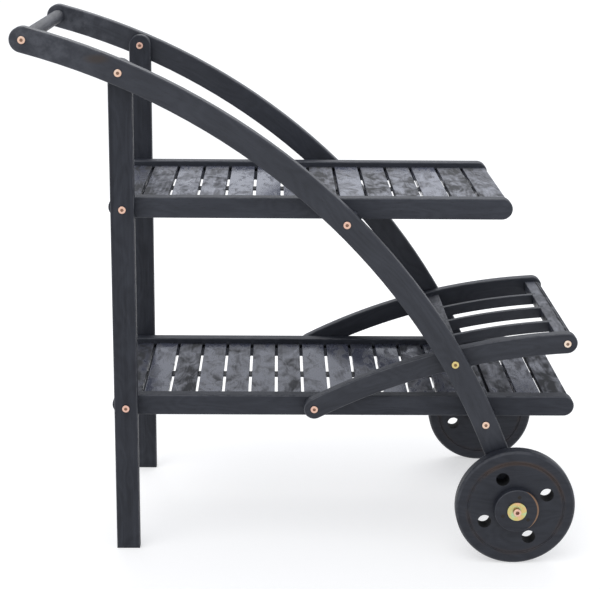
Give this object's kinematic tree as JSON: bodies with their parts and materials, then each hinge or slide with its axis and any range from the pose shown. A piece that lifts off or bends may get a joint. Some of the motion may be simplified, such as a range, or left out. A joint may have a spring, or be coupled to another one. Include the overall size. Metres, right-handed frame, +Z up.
{
  "type": "serving cart",
  "caption": "Wooden bar cart with two slatted trays, curved bows, a round handle, a bottle rack and two wheels; it rolls when lifted by the handle.",
  "frame": {"origin": "on the floor, under the middle of the whole cart's length and width", "axes": "+Z up, +X from the handle to the wheels and bottle rack, +Y to the left seen from the handle"},
  "size_m": [0.901, 0.5048, 0.868],
  "materials": {
    "frame_wood": "dark stained, satin",
    "slat_wood": "dark stained, worn satin",
    "wheel_wood": "dark stained, satin",
    "yellow_zinc": "yellow zinc plate",
    "dark_screws": "black"
  },
  "bodies": {
    "frame": {"axle_bolts": "yellow_zinc", "axle_washers": "yellow_zinc", "bow_left": "frame_wood", "bow_right": "frame_wood", "frame_bolts": "yellow_zinc", "frame_nuts": "yellow_zinc", "handle_bar": "frame_wood", "leg_left": "frame_wood", "leg_right": "frame_wood", "lower_batten": "frame_wood", "lower_rail_left": "frame_wood", "lower_rail_right": "frame_wood", "lower_slat_01": "slat_wood", "lower_slat_02": "slat_wood", "lower_slat_03": "slat_wood", "lower_slat_04": "slat_wood", "lower_slat_05": "slat_wood", "lower_slat_06": "slat_wood", "lower_slat_07": "slat_wood", "lower_slat_08": "slat_wood", "lower_slat_09": "slat_wood", "lower_slat_10": "slat_wood", "lower_slat_11": "slat_wood", "lower_slat_12": "slat_wood", "lower_slat_13": "slat_wood", "lower_slat_14": "slat_wood", "lower_slat_15": "slat_wood", "lower_slat_16": "slat_wood", "lower_slat_17": "slat_wood", "rack_arm_left": "frame_wood", "rack_arm_right": "frame_wood", "rack_crossbar_end": "frame_wood", "rack_crossbar_inner": "frame_wood", "rack_slat_1": "frame_wood", "rack_slat_2": "frame_wood", "rack_slat_3": "frame_wood", "tray_stretchers": "frame_wood", "upper_batten": "frame_wood", "upper_rail_left": "frame_wood", "upper_rail_right": "frame_wood", "upper_slat_01": "slat_wood", "upper_slat_02": "slat_wood", "upper_slat_03": "slat_wood", "upper_slat_04": "slat_wood", "upper_slat_05": "slat_wood", "upper_slat_06": "slat_wood", "upper_slat_07": "slat_wood", "upper_slat_08": "slat_wood", "upper_slat_09": "slat_wood", "upper_slat_10": "slat_wood", "upper_slat_11": "slat_wood", "upper_slat_12": "slat_wood", "upper_slat_13": "slat_wood", "upper_slat_14": "slat_wood"},
    "wheel_right": {"wheel_right": "wheel_wood", "hub_right": "wheel_wood", "hub_screws_right": "dark_screws"},
    "wheel_left": {"wheel_left": "wheel_wood", "hub_left": "wheel_wood", "hub_screws_left": "dark_screws"}
  },
  "joints": [
    {"name": "wheel_right_spin", "type": "hinge", "parent": "frame", "child": "wheel_right", "pos_m": [0.3495, -0.2207, 0.0975], "axis": [0, 1, 0], "continuous": true},
    {"name": "wheel_left_spin", "type": "hinge", "parent": "frame", "child": "wheel_left", "pos_m": [0.3495, 0.2207, 0.0975], "axis": [0, 1, 0], "continuous": true}
  ]
}
